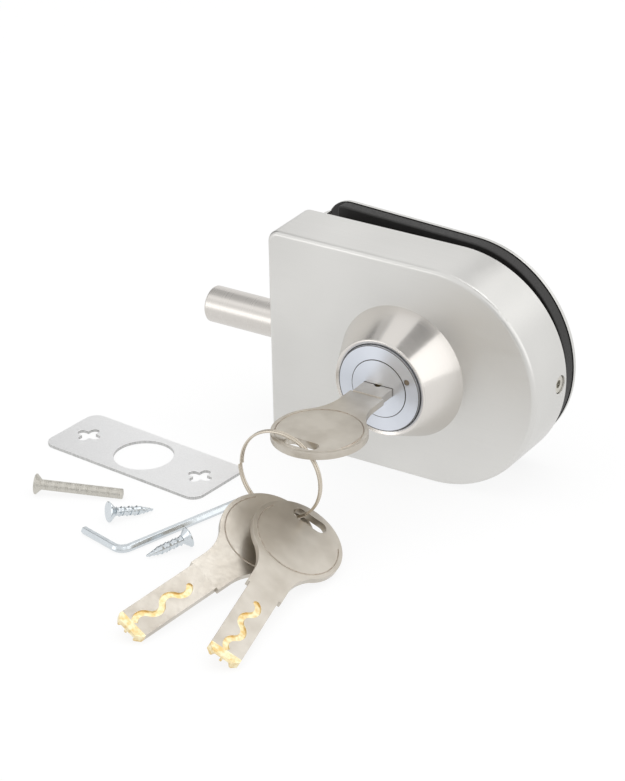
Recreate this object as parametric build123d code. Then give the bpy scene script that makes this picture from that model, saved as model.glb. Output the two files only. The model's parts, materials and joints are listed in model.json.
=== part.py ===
from build123d import *
from math import acos, atan, cos, degrees, pi, radians, sin, sqrt, tan
import os

# Glass door lock with a round rack-driven bolt, its keys on a split ring, and its loose fixings.
#
# Sizes are millimetres.  The lock is modelled with its flat side at x = 0, its front face at y = 0 and the
# surface it stands on at z = 0: the bolt points along -X, the key goes in along +Y, and +Z is up.  Each
# node is moved on export, so that the origin lies under the cylinder in the middle of the bottom edge.

# Case: a D seen from the front, with a straight side at the left and a half round at the right
case_length = 84.0
case_height = 64.0
case_depth = 17.3
case_wall = 1.2
case_corner = 3.6
case_edge_round = 1.3
fit_gap = 0.1

# Cylinder and plug, on an axis along Y
cylinder_x = 42.8
axis_z = 31.6
cylinder_radius = 12.6
cylinder_face_y = -11.9
cylinder_back_y = 12.8
cylinder_flange_width = 2.6
cylinder_flange_thickness = 1.9
cylinder_back_width = 13.6
plug_head_radius = 8.36
plug_head_depth = 2.0
index_pin_radius = 0.8
index_pin_offset = 9.6
index_pin_angle = 24.7
plug_radius = 6.0
running_gap = 0.04
keyway_end_y = 10.8
tail_radius = 2.9
tail_flat = 2.2

# Collar round the cylinder: a turned cone
collar_base_width = 6.64
collar_rim_width = 1.5
collar_height = 11.65
collar_lip = 0.9
collar_bore_gap = 0.25

# Pins: five stations along the blade
pin_count = 5
pin_pitch = 3.5
pin_radius = 1.2
pin_bore_gap = 0.06
spring_wire = 0.25
spring_turns = 3
chamber_cap_width = 3.2
chamber_cap_thickness = 0.8

# Rack drive: half a turn of the plug moves the bolt by pi times the pitch radius
tooth_module = 1.0
pinion_teeth = 16
pressure_angle = 20.0
addendum = 0.9
dedendum = 1.2
backlash = 0.10
drive_y = 13.0
drive_thickness = 2.15
rail_height = 3.4
rack_ear_thickness = 1.4

# Bolt, on an axis along X
bolt_radius = 5.25
bolt_tail_relief = 0.35
bolt_tail_start = -0.5
bolt_y = 9.93
bolt_reach = 25.4
bolt_end_x = 7.2
bolt_chamfer = 0.6
bolt_gap = 0.08

# Base plate that closes the case, and what it carries
base_y = 15.4
bridge_width = 6.9
bridge_depth = 5.2
front_gasket_thickness = 1.0
gasket_inset = 1.4
grub_radius = 2.5
grub_y = 13.9
grub_length = 5.0

# Rear clamp: a rubber sheet on a steel plate, standing askew on its two loose screws
clamp_inset = 0.8
clamp_corner = 9.0
clamp_tilt = 4.2
clamp_back_y = 30.9
rear_gasket_thickness = 3.6
rear_plate_thickness = 1.5
rear_plate_round = 0.5
clamp_screw_x = 4.3
clamp_screw_rise = 19.0
clamp_screw_radius = 1.95
clamp_screw_gap = 0.1
clamp_screw_length = 19.0
clamp_head_radius = 3.4
clamp_head_height = 2.0

# Keys
blade_width = 8.9
blade_thickness = 2.2
blade_length = 28.5
tip_chamfer = 1.8
tip_lead = 0.5
key_sheet = 1.8
key_medallion = 2.1
bow_centre = 52.2
bow_radius = 12.9
medallion_radius = 11.8
key_slot_centre = 60.8
key_slot_length = 10.0
key_slot_width = 3.9
shoulder_step = 0.8
neck_length = 5.0
track_end = 22.8
track_width = 1.7
track_depth = 0.45
track_swing = 1.25
mouth_depth = 0.6
track_start = 3.0
track_bends = 4
keyway_gap = 0.12
key_tip_gap = 0.2

# Split ring
ring_radius = 12.2
ring_wire_radius = 0.45
ring_pitch = 0.95

# Strike plate
strike_length = 56.0
strike_width = 21.9
strike_thickness = 0.9
strike_corner = 3.5
strike_bore_radius = 8.48
strike_slot_spacing = 41.0
strike_slot_width = 2.7
strike_slot_length = 7.5

# Loose fixings
machine_screw_length = 24.7
machine_screw_radius = 1.5
machine_head_radius = 2.85
tapping_screw_length = 12.9
tapping_screw_radius = 1.45
tapping_head_radius = 2.85
screw_head_rim = 0.4
hex_across_flats = 2.0
hex_short_leg = 15.6
hex_long_leg = 39.5
hex_bend_radius = 3.0

# Places of the loose pieces on the surface that the lock stands on: x, y and the turn about Z
strike_place = (-24.1, -28.6, -5.8)
machine_screw_place = (-38.0, -60.1, 22.7)
tapping_screw_places = [(-11.6, -62.8, 54.4), (14.7, -62.7, 242.0)]
hex_key_corner = (1.6, -75.4)
hex_short_turn = 164.9
hex_long_turn = 72.2

# Spare keys: tip on the surface, heading of the blade, its rise and its roll, in degrees
upper_key_place = (56.2, -109.3, 101.45, 5.93, 31.2)
lower_key_place = (27.87, -110.21, 79.7, 5.58, 28.97)

case_radius = case_height / 2
round_x = case_length - case_radius
mid_z = case_height / 2
pitch_radius = tooth_module * pinion_teeth / 2
tooth_pitch = pi * tooth_module
half_turn_travel = pi * pitch_radius
rack_line_z = axis_z + pitch_radius
pinion_outer = pitch_radius + addendum
origin = (cylinder_x, case_depth / 2, 0)


def front_plane(y):
    """Plane facing the front at depth y, on which a sketch has x and z as its coordinates."""
    return Plane(origin=(0, y, 0), x_dir=(1, 0, 0), z_dir=(0, -1, 0))


def across(sketch, y0, y1):
    """Solid with the sketch as its front view, from depth y0 to y1."""
    return extrude(front_plane(y1) * sketch, y1 - y0)


def rod_y(radius, y0, y1, x=cylinder_x, z=axis_z):
    return across(Pos(x, z) * Circle(radius), y0, y1)


def rod_x(radius, x0, x1, y=bolt_y, z=axis_z):
    return extrude(Plane(origin=(x0, y, z), x_dir=(0, 1, 0), z_dir=(1, 0, 0)) * Circle(radius), x1 - x0)


def rod_z(radius, z0, z1, x, y):
    return extrude(Plane.XY.offset(z0) * Pos(x, y) * Circle(radius), z1 - z0)


def block(x0, x1, y0, y1, z0, z1):
    return Pos((x0 + x1) / 2, (y0 + y1) / 2, (z0 + z1) / 2) * Box(x1 - x0, y1 - y0, z1 - z0)


def coil_path(radius, pitch, turns):
    """Coil about the local z axis, as half circles that each climb half a pitch and join smoothly."""
    climb = pitch / 2
    bulge = sqrt(radius ** 2 + climb ** 2 / 4)
    arcs = []
    for i in range(2 * turns):
        side = 1 if i % 2 == 0 else -1
        start = (side * radius, 0, i * climb)
        middle = (0, side * bulge, (i + 0.5) * climb)
        end = (-side * radius, 0, (i + 1) * climb)
        arcs.append(ThreePointArc(start, middle, end))
    return Wire([edge for arc in arcs for edge in arc.edges()])


def hexagon(across_flats):
    """Hexagon with a flat at each end of its local x axis."""
    return RegularPolygon(across_flats / 2, 6, major_radius=False, rotation=30)


def d_shape(inset, corner):
    """The D of the case, drawn smaller by inset on every side."""
    radius = case_radius - inset
    straight = round_x - inset
    face = Pos(round_x, mid_z) * Circle(radius)
    face += Pos(inset + straight / 2, mid_z) * Rectangle(straight, 2 * radius)
    left = face.vertices().sort_by(Axis.X)[:2]
    return fillet(left, corner)


def save(name, shape):
    """Write a node with its solids moved so that the origin of the part is at zero."""
    shift = Location((-origin[0], -origin[1], -origin[2]))
    moved = [solid.moved(shift) for solid in shape.solids()]
    export_step(Compound(moved), f"parts/{name}.step")


# Case and cylinder

def make_front_cover():
    shell = across(d_shape(0, case_corner), 0, case_depth)
    front_edges = shell.edges().filter_by_position(Axis.Y, -0.01, 0.01)
    shell = fillet(front_edges, case_edge_round)
    shell -= across(d_shape(case_wall, case_corner - case_wall), case_wall, case_depth + 1)
    shell -= rod_y(cylinder_radius + fit_gap, -1, case_wall + 1)
    shell -= rod_x(bolt_radius + 2 * bolt_gap, -1, case_wall + 1)
    shell -= rod_x(grub_radius + fit_gap, case_length - 6, case_length + 1, grub_y, mid_z)
    return shell


def make_cylinder_collar():
    inner = cylinder_radius + collar_bore_gap
    base = cylinder_radius + collar_base_width
    rim = cylinder_radius + collar_rim_width
    half_lip = collar_lip / 2
    with BuildPart() as collar:
        with BuildSketch(Plane.XY):
            with BuildLine():
                foot = (base, 0)
                start = (rim, -collar_height + half_lip)
                top = (rim - half_lip, -collar_height)
                Line((inner, 0), foot)
                Line(foot, start)
                shoulder = 0.3 * half_lip
                middle = (rim - shoulder, -collar_height + shoulder)
                ThreePointArc(start, middle, top)
                Line(top, (inner, -collar_height + half_lip))
                Line((inner, -collar_height + half_lip), (inner, 0))
            make_face()
        revolve(axis=Axis.Y)
    return Pos(cylinder_x, 0, axis_z) * collar.part


def pin_stations():
    first = -pin_pitch * (pin_count - 1) / 2
    return [first + pin_pitch * i for i in range(pin_count)]


chamber_top = axis_z + cylinder_radius - fit_gap
cap_bottom = chamber_top - chamber_cap_thickness


def chamber_strip(half_width, top):
    """Strip over the row of pins, from the bottom of the chamber cap up."""
    front = pin_stations()[0] - 2 * pin_radius
    back = pin_stations()[-1] + 2 * pin_radius
    return block(cylinder_x - half_width, cylinder_x + half_width, front, back, cap_bottom, top)


def make_chamber_cap():
    return chamber_strip(chamber_cap_width / 2, chamber_top)


def make_cylinder_housing():
    flange_y = case_wall + cylinder_flange_thickness
    flange_radius = cylinder_radius + cylinder_flange_width
    housing = rod_y(cylinder_radius, cylinder_face_y, flange_y)
    housing += rod_y(flange_radius, case_wall, flange_y)
    back = Circle(cylinder_radius) & Rectangle(cylinder_back_width, 4 * cylinder_radius)
    housing += across(Pos(cylinder_x, axis_z) * back, flange_y, cylinder_back_y)
    housing -= rod_y(plug_radius + running_gap, cylinder_face_y - 1, cylinder_back_y + 1)
    housing -= rod_y(plug_head_radius + running_gap, cylinder_face_y - 1, cylinder_face_y + plug_head_depth)
    housing -= chamber_strip(chamber_cap_width / 2 + running_gap, axis_z + flange_radius + 1)
    for y in pin_stations():
        housing -= rod_z(pin_radius + pin_bore_gap, axis_z, cap_bottom + 0.1, cylinder_x, y)
    housing -= index_pin_rod(running_gap, 1.0)
    return housing


def index_pin_rod(grow=0.0, proud=0.0):
    """Pin in the housing's face, up and to the right of the plug."""
    x = cylinder_x + index_pin_offset * cos(radians(index_pin_angle))
    z = axis_z + index_pin_offset * sin(radians(index_pin_angle))
    return rod_y(index_pin_radius + grow, cylinder_face_y - proud, cylinder_face_y + 6, x, z)


def keyway_shape():
    width = blade_width + 2 * keyway_gap
    return Pos(cylinder_x, axis_z) * Rectangle(width, blade_thickness + 2 * keyway_gap)


def tail_shape(grow=0.0):
    round_tail = Circle(tail_radius + grow)
    return Pos(cylinder_x, axis_z) * (round_tail & Rectangle(2 * (tail_flat + grow), 4 * tail_radius))


def make_cylinder_plug():
    plug = rod_y(plug_head_radius, cylinder_face_y - 0.1, cylinder_face_y + plug_head_depth - running_gap)
    plug += rod_y(plug_radius, cylinder_face_y, cylinder_back_y)
    plug += across(tail_shape(), cylinder_back_y, drive_y + drive_thickness)
    plug -= across(keyway_shape(), cylinder_face_y - 1, keyway_end_y)
    for y in pin_stations():
        plug -= rod_z(pin_radius + pin_bore_gap, axis_z, axis_z + plug_radius + 1, cylinder_x, y)
    plug -= rod_y(1.25, keyway_end_y + 0.8, drive_y + drive_thickness + 1)
    return plug


def make_key_pins():
    """Lower pins: a pointed foot in the key's track and a flat top at the shear line."""
    foot = axis_z + blade_thickness / 2 + 0.03
    top = axis_z + sqrt(plug_radius ** 2 - pin_radius ** 2)
    pins = []
    for y in pin_stations():
        pin = rod_z(pin_radius, foot, top, cylinder_x, y)
        foot_edge = pin.edges().sort_by(Axis.Z)[0]
        pins.append(chamfer(foot_edge, 0.7))
    return Compound(children=pins)


driver_bottom = axis_z + plug_radius + 2 * running_gap
driver_top = driver_bottom + 2.9


def make_driver_pins():
    pins = []
    for y in pin_stations():
        pins.append(rod_z(pin_radius, driver_bottom, driver_top, cylinder_x, y))
    return Compound(children=pins)


def make_pin_springs():
    """Each spring stands between its upper pin and the chamber cap."""
    low = driver_top + spring_wire / 2
    height = cap_bottom - driver_top - 1.6 * spring_wire
    coil_radius = pin_radius - spring_wire
    springs = []
    path = coil_path(coil_radius, height / spring_turns, spring_turns)
    section = Plane(origin=path @ 0, z_dir=path % 0) * RegularPolygon(spring_wire / 2, 4)
    coil = sweep(section, path=path)
    for y in pin_stations():
        springs.append(Pos(cylinder_x, y, low + 0.2 * spring_wire) * coil)
    return Compound(children=springs)


# Rack drive

def involute(radius, base):
    """Angle of the involute of the base circle where it crosses a radius."""
    turn = acos(base / radius)
    return tan(turn) - turn


def make_drive_pinion():
    base = pitch_radius * cos(radians(pressure_angle))
    root = pitch_radius - dedendum
    half_tooth = pi / (2 * pinion_teeth) - backlash / (4 * pitch_radius)
    start = base * 1.002
    radii = [start, (start + pinion_outer) / 2, pinion_outer]
    flank = []
    for r in radii:
        angle = half_tooth + involute(pitch_radius, base) - involute(r, base)
        flank.append((r, angle))
    gear = Circle(root + 0.01)
    right = [(r * sin(a), r * cos(a)) for r, a in flank]
    left = [(-x, z) for x, z in reversed(right)]
    foot_half = flank[0][1]
    foot = (root * 0.97 * sin(foot_half), root * 0.97 * cos(foot_half))
    with BuildSketch() as tooth:
        with BuildLine():
            Line(foot, right[0])
            ThreePointArc(*right)
            ThreePointArc(right[-1], (0, pinion_outer), left[0])
            ThreePointArc(*left)
            Line(left[-1], (-foot[0], foot[1]))
            Line((-foot[0], foot[1]), foot)
        make_face()
    for i in range(pinion_teeth):
        gear += Rot(0, 0, 360 / pinion_teeth * i) * tooth.sketch
    pinion = across(Pos(cylinder_x, axis_z) * gear, drive_y, drive_y + drive_thickness)
    return pinion - across(tail_shape(running_gap), drive_y - 1, drive_y + drive_thickness + 1)


rail_bottom = rack_line_z + dedendum
rail_top = rail_bottom + rail_height
rack_left = bolt_end_x
teeth_before = int(half_turn_travel / tooth_pitch) + 2
teeth_after = 2
rack_right = cylinder_x + (teeth_after + 0.5) * tooth_pitch


def make_rack_slide():
    """Toothed rail above the pinion, with a plate at its end that is screwed to the bolt."""
    drive_back = drive_y + drive_thickness
    plate_right = rack_left + rack_ear_thickness
    slide = block(rack_left, rack_right, drive_y, drive_back, rail_bottom, rail_top)
    slide += block(rack_left, plate_right, bolt_y - 4.4, drive_back, axis_z - 4.5, rail_top)
    slope = tan(radians(pressure_angle))
    half = tooth_pitch / 4 - backlash / 4
    tip = half - slope * addendum
    foot = half + slope * (dedendum + 0.01)
    tooth = Polygon((-tip, rack_line_z - addendum), (tip, rack_line_z - addendum),
                    (foot, rail_bottom + 0.01), (-foot, rail_bottom + 0.01), align=None)
    for i in range(-teeth_before, teeth_after + 1):
        x = cylinder_x + (i + 0.5) * tooth_pitch
        if x - foot > plate_right and x + foot < rack_right:
            slide += across(Pos(x, 0) * tooth, drive_y, drive_back)
    return slide - rod_x(1.75, rack_left - 1, plate_right + 1)


def make_bolt():
    """Round bolt with a chamfered nose; the tail that stays in the case is turned down a little."""
    nose = rod_x(bolt_radius, -bolt_reach, bolt_tail_start)
    nose = chamfer(nose.edges().sort_by(Axis.X)[0], bolt_chamfer)
    bolt = nose + rod_x(bolt_radius - bolt_tail_relief, bolt_tail_start, bolt_end_x)
    return bolt - rod_x(1.6, bolt_end_x - 6, bolt_end_x + 1)


def make_bolt_screw():
    head_x = rack_left + rack_ear_thickness
    return rod_x(1.55, bolt_end_x - 5.4, head_x) + rod_x(2.9, head_x, head_x + 0.8)


def make_bolt_guide():
    wall = case_wall + fit_gap
    guide = block(wall, bolt_end_x - 0.3, wall, base_y, axis_z - 9.5, axis_z + 9.5)
    guide -= rod_x(bolt_radius + bolt_gap, 0, bolt_end_x + 1)
    for z in base_screw_heights():
        guide -= rod_y(1.25, base_y - 5, base_y + 1, base_screw_x, z)
    return guide


base_screw_x = case_wall + 3.4


def base_screw_heights():
    return [axis_z - 7.3, axis_z + 7.3]


def make_rack_guide():
    """Strip above the rail that keeps the rack in mesh."""
    low = rail_top + fit_gap
    left = rack_left + 4.0
    right = rack_right + half_turn_travel - 4.0
    strip = block(left, right, drive_y - 0.1, base_y, low, low + 2.6)
    return strip


# Base plate, bridge, gasket and screws

def clamp_screw_hole(z, y0, y1):
    return rod_y(clamp_screw_radius + clamp_screw_gap, y0 - 1, y1 + 1, clamp_screw_x, z)


def make_base_plate():
    plate = across(d_shape(case_wall + fit_gap, case_corner - case_wall), base_y, case_depth)
    lug_left = case_length - case_wall - 6.4
    lug = block(lug_left, case_length, grub_y - 3.2, base_y, mid_z - 6, mid_z + 6)
    lug &= across(d_shape(case_wall + fit_gap, case_corner - case_wall), grub_y - 4, case_depth)
    plate += lug
    plate -= rod_y(4.4, base_y - 1, case_depth + 1)
    plate -= rod_x(grub_radius, lug_left - 1, case_length, grub_y, mid_z)
    for z in base_screw_heights():
        plate -= rod_y(1.6, base_y - 1, case_depth + 1, base_screw_x, z)
        plate -= rod_y(2.9, case_depth - 1.1, case_depth + 1, base_screw_x, z)
    for z in clamp_screw_heights():
        plate -= clamp_screw_hole(z, base_y, case_depth)
    return plate


def make_base_screws():
    screws = []
    for z in base_screw_heights():
        shank = rod_y(1.2, base_y - 4.6, case_depth - 1.0, base_screw_x, z)
        screws.append(shank + rod_y(2.8, case_depth - 1.0, case_depth - 0.1, base_screw_x, z))
    return Compound(children=screws)


def clamp_screw_heights():
    return [mid_z - clamp_screw_rise, mid_z + clamp_screw_rise]


def bridge_outline(inset):
    left_strip = Pos(bridge_width / 2, mid_z) * Rectangle(bridge_width, case_height)
    return d_shape(inset, clamp_corner) & left_strip


def make_bridge_block():
    """Block at the flat side that spans from the case to the rear clamp, past the edge of the glass."""
    bridge = across(bridge_outline(clamp_inset), case_depth, case_depth + bridge_depth)
    for z in clamp_screw_heights():
        bridge -= clamp_screw_hole(z, case_depth, case_depth + bridge_depth)
    for z in base_screw_heights():
        bridge -= rod_y(2.9, case_depth - 1, case_depth + 0.4, base_screw_x, z)
    return bridge


def glass_side(inset, corner):
    """Outline of the sheets that bear on the glass: the D without the strip beside the bridge."""
    strip = bridge_width + 0.4
    return d_shape(inset, corner) - Pos(strip / 2, mid_z) * Rectangle(strip, 2 * case_height)


def make_front_gasket():
    return across(glass_side(gasket_inset, 2.0), case_depth, case_depth + front_gasket_thickness)


clamp_pivot = (clamp_screw_x, clamp_back_y)


def tilt_clamp(shape):
    """Turn the rear clamp about the upright line through its two screws."""
    turn = Pos(clamp_pivot[0], clamp_pivot[1], 0) * Rot(0, 0, -clamp_tilt)
    return turn * (Pos(-clamp_pivot[0], -clamp_pivot[1], 0) * shape)


plate_front_y = clamp_back_y - rear_plate_thickness


def make_rear_plate():
    plate = across(d_shape(clamp_inset, clamp_corner), plate_front_y, clamp_back_y)
    back_edges = plate.edges().filter_by_position(Axis.Y, clamp_back_y - 0.01, clamp_back_y + 0.01)
    plate = chamfer(back_edges, rear_plate_round)
    for z in clamp_screw_heights():
        plate -= rod_y(clamp_screw_radius + 0.3, plate_front_y - 1, clamp_back_y + 1, clamp_screw_x, z)
    return tilt_clamp(plate)


def make_rear_gasket():
    front = plate_front_y - rear_gasket_thickness
    gasket = across(glass_side(clamp_inset + 0.2, clamp_corner), front, plate_front_y)
    return tilt_clamp(gasket)


def make_clamp_screws():
    head_y = clamp_back_y + 0.27
    screws = []
    for z in clamp_screw_heights():
        shank = rod_y(clamp_screw_radius, head_y - clamp_screw_length, head_y, clamp_screw_x, z)
        head = rod_y(clamp_head_radius, head_y, head_y + clamp_head_height, clamp_screw_x, z)
        rim = head.edges().sort_by(Axis.Y)[-1]
        head = chamfer(rim, 0.5)
        socket_shape = Pos(clamp_screw_x, z) * hexagon(hex_across_flats + 0.1)
        head -= across(socket_shape, head_y + 0.7, head_y + clamp_head_height + 1)
        screws.append(shank + head)
    return Compound(children=screws)


def make_cover_grub_screw():
    right = case_length - 0.5
    grub = rod_x(grub_radius - running_gap, right - grub_length, right, grub_y, mid_z)
    socket = Plane(origin=(right - 1.8, grub_y, mid_z), x_dir=(0, 1, 0), z_dir=(1, 0, 0))
    return grub - extrude(socket * hexagon(hex_across_flats + 0.1), 3)


def make_tail_screw():
    """Holds the pinion on the plug's tail; its head turns in the round opening of the base plate."""
    back = drive_y + drive_thickness
    head = rod_y(3.5, back, back + 1.4)
    slot = block(cylinder_x - 4, cylinder_x + 4, back + 0.8, back + 2, axis_z - 0.4, axis_z + 0.4)
    return rod_y(1.2, keyway_end_y + 1.2, back) + head - slot


# Keys and ring

def track_face():
    """Wavy milled track along the blade, in equal arcs to each side."""
    half = track_width / 2
    step = (track_end - track_start) / track_bends
    bends = []
    for i in range(track_bends):
        side = 1 if i % 2 == 0 else -1
        start = (track_start + i * step, 0)
        middle = (track_start + (i + 0.5) * step, side * track_swing)
        end = (track_start + (i + 1) * step, 0)
        bends.append(ThreePointArc(start, middle, end))
    track = Pos(track_end, 0) * Circle(half)
    for bend in bends:
        track += trace(bend, line_width=track_width)
    return track


def mouth_face():
    """Forked mouth at the tip, which leads the pins into the track."""
    half = track_width / 2
    wide = blade_width / 2 - 1.0
    end = track_start + half
    return Polygon((-1, -wide), (-1, -0.6), (1.4, 0), (-1, 0.6), (-1, wide), (end, half), (end, -half),
                   align=None)


def make_key():
    """A key lying flat, with its tip at the local origin and its blade along +X."""
    half_blade = blade_width / 2
    half_neck = half_blade + shoulder_step
    neck_end = blade_length + neck_length
    meet = 42.5
    meet_half = sqrt(bow_radius ** 2 - (bow_centre - meet) ** 2)
    with BuildSketch() as neck:
        with BuildLine():
            Line((blade_length, -half_neck), (blade_length, half_neck))
            Line((blade_length, half_neck), (neck_end, half_neck))
            TangentArc((neck_end, half_neck), (meet, meet_half), tangent=(1, 0))
            Line((meet, meet_half), (meet, -meet_half))
            TangentArc((neck_end, -half_neck), (meet, -meet_half), tangent=(1, 0))
            Line((neck_end, -half_neck), (blade_length, -half_neck))
        make_face()
    slot = Pos(key_slot_centre, 0) * Rot(0, 0, 90) * SlotOverall(key_slot_length, key_slot_width)
    head = neck.sketch + Pos(bow_centre, 0) * Circle(bow_radius)
    blank = extrude(Plane.XY.offset(-key_sheet / 2) * head, key_sheet)
    disc = Pos(bow_centre, 0) * Circle(medallion_radius)
    blank += extrude(Plane.XY.offset(-key_medallion / 2) * disc, key_medallion)
    blank -= extrude(Plane.XY.offset(-key_medallion) * slot, 2 * key_medallion)
    blade = Pos(blade_length / 2, 0, 0) * Box(blade_length, blade_width, blade_thickness)
    tip_edges = blade.edges().filter_by(Axis.Z).sort_by(Axis.X)[:2]
    blade = chamfer(tip_edges, tip_chamfer)
    lead = blade.edges().filter_by(Axis.Y).sort_by(Axis.X)[:2]
    blade = chamfer(lead, tip_lead)
    key = blank + blade
    for face, depth in ((track_face(), track_depth), (mouth_face(), mouth_depth)):
        floor = blade_thickness / 2 - depth
        key -= extrude(Plane.XY.offset(floor) * face, 2)
        key -= extrude(Plane.XY.offset(-floor - 2) * face, 2)
    return key


def inserted_key(key):
    """The blade runs along +Y into the plug, flat on its side."""
    tip_y = keyway_end_y - key_tip_gap
    return Pos(cylinder_x, tip_y, axis_z) * Rot(0, 0, -90) * key


ring_y = keyway_end_y - key_tip_gap - key_slot_centre + 0.1
ring_x = cylinder_x - 6.9
ring_z = axis_z - 10.1


def make_key_ring():
    """Split ring: two turns of wire side by side, with both ends at the side away from the keys."""
    turns = 2
    path = coil_path(ring_radius, ring_pitch, turns)
    section = Plane(origin=path @ 0, z_dir=path % 0) * RegularPolygon(ring_wire_radius, 12)
    coil = Pos(0, 0, -turns * ring_pitch / 2) * sweep(section, path=path)
    return Plane(origin=(ring_x, ring_y, ring_z), x_dir=(-1, 0, 0), z_dir=(0, 1, 0)) * coil


def key_location(place):
    """Where a spare key lies: its tip touches the surface, and it is turned, raised and rolled."""
    x, y, heading, rise, roll = place
    turn = Rot(0, 0, heading) * Rot(0, -rise, 0) * Rot(roll, 0, 0)
    heights = []
    for side in (-1, 1):
        for face in (-1, 1):
            end = (0, side * (blade_width / 2 - tip_chamfer), face * (blade_thickness / 2 - tip_lead))
            corner = (tip_chamfer, side * blade_width / 2, face * blade_thickness / 2)
            heights.append((turn * Pos(*end)).position.Z)
            heights.append((turn * Pos(*corner)).position.Z)
    return Pos(x, y, -min(heights)) * turn


# Loose fixings

def make_strike_plate():
    """Flat plate with a hole for the bolt and two cross-shaped slots, so that its screws can be set."""
    plate = Rectangle(strike_length, strike_width)
    plate = fillet(plate.vertices(), strike_corner)
    plate -= Circle(strike_bore_radius)
    slot = SlotOverall(strike_slot_length, strike_slot_width)
    for side in (-1, 1):
        place = Pos(side * strike_slot_spacing / 2, 0)
        plate -= place * slot
        plate -= place * Rot(0, 0, 90) * slot
    solid = extrude(plate, strike_thickness)
    x, y, turn = strike_place
    return Pos(x, y, 0) * Rot(0, 0, turn) * solid


def countersunk_screw(length, shank_radius, head_radius, point, end_radius):
    """Screw along +X from the face of its head, with a cross recess; point is the length of its tip."""
    head_depth = head_radius - shank_radius
    with BuildPart() as screw:
        with BuildSketch(Plane.XZ):
            with BuildLine():
                Polyline((0, 0), (0, head_radius), (screw_head_rim, head_radius),
                         (screw_head_rim + head_depth, shank_radius), (length - point, shank_radius),
                         (length, end_radius), (length, 0), (0, 0))
            make_face()
        revolve(axis=Axis.X)
    recess = head_radius * 0.5
    cross = Box(2 * recess, 2 * recess, 0.9) + Box(2 * recess, 0.9, 2 * recess)
    return screw.part - cross


def lying_screw(screw, place, length, head_radius, end_radius):
    """Lay a screw down so that the rim of its head and the end of its shank both touch the surface."""
    x, y, turn = place
    droop = atan((head_radius - end_radius) / (length - screw_head_rim))
    height = head_radius * cos(droop) + screw_head_rim * sin(droop)
    return Pos(x, y, height) * Rot(0, 0, turn) * Rot(0, degrees(droop), 0) * screw


def make_machine_screw():
    point = 0.3
    screw = countersunk_screw(machine_screw_length, machine_screw_radius, machine_head_radius, point,
                              machine_screw_radius - point)
    return lying_screw(screw, machine_screw_place, machine_screw_length - point, machine_head_radius,
                       machine_screw_radius)


def make_tapping_screws():
    point = 4.0
    screw = countersunk_screw(tapping_screw_length, tapping_screw_radius, tapping_head_radius, point, 0.2)
    screws = []
    for place in tapping_screw_places:
        screws.append(lying_screw(screw, place, tapping_screw_length - point, tapping_head_radius,
                                  tapping_screw_radius))
    return Compound(children=screws)


def make_hex_key():
    corner = Vector(hex_key_corner[0], hex_key_corner[1], hex_across_flats / 2)
    short_end = corner + Vector(hex_short_leg, 0, 0).rotate(Axis.Z, hex_short_turn)
    long_end = corner + Vector(hex_long_leg, 0, 0).rotate(Axis.Z, hex_long_turn)
    path = FilletPolyline(short_end, corner, long_end, radius=hex_bend_radius)
    section = Plane(origin=short_end, x_dir=(0, 0, 1), z_dir=path % 0)
    return sweep(section * hexagon(hex_across_flats), path=path)


def main():
    os.makedirs("parts", exist_ok=True)
    save("front_cover", make_front_cover())
    save("cylinder_collar", make_cylinder_collar())
    save("cylinder_housing", make_cylinder_housing())
    save("chamber_cap", make_chamber_cap())
    save("housing_pin", index_pin_rod())
    save("cylinder_plug", make_cylinder_plug())
    save("key_pins", make_key_pins())
    save("driver_pins", make_driver_pins())
    save("pin_springs", make_pin_springs())
    save("drive_pinion", make_drive_pinion())
    save("tail_screw", make_tail_screw())
    save("rack_slide", make_rack_slide())
    save("rack_guide", make_rack_guide())
    save("bolt", make_bolt())
    save("bolt_screw", make_bolt_screw())
    save("bolt_guide", make_bolt_guide())
    save("base_plate", make_base_plate())
    save("base_screws", make_base_screws())
    save("bridge_block", make_bridge_block())
    save("front_gasket", make_front_gasket())
    save("rear_gasket", make_rear_gasket())
    save("rear_plate", make_rear_plate())
    save("clamp_screws", make_clamp_screws())
    save("cover_grub_screw", make_cover_grub_screw())
    key = make_key()
    save("key_in_lock", inserted_key(key))
    save("spare_key_upper", key_location(upper_key_place) * key)
    save("spare_key_lower", key_location(lower_key_place) * key)
    save("key_ring", make_key_ring())
    save("strike_plate", make_strike_plate())
    save("machine_screw", make_machine_screw())
    save("tapping_screws", make_tapping_screws())
    save("hex_key", make_hex_key())


main()
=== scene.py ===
import json
import math

import bmesh
import bpy
import numpy as np
from bpy.props import FloatProperty, FloatVectorProperty, IntProperty, PointerProperty
from bpy.types import Operator, Panel, PropertyGroup
from mathutils import Matrix, Vector


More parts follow.
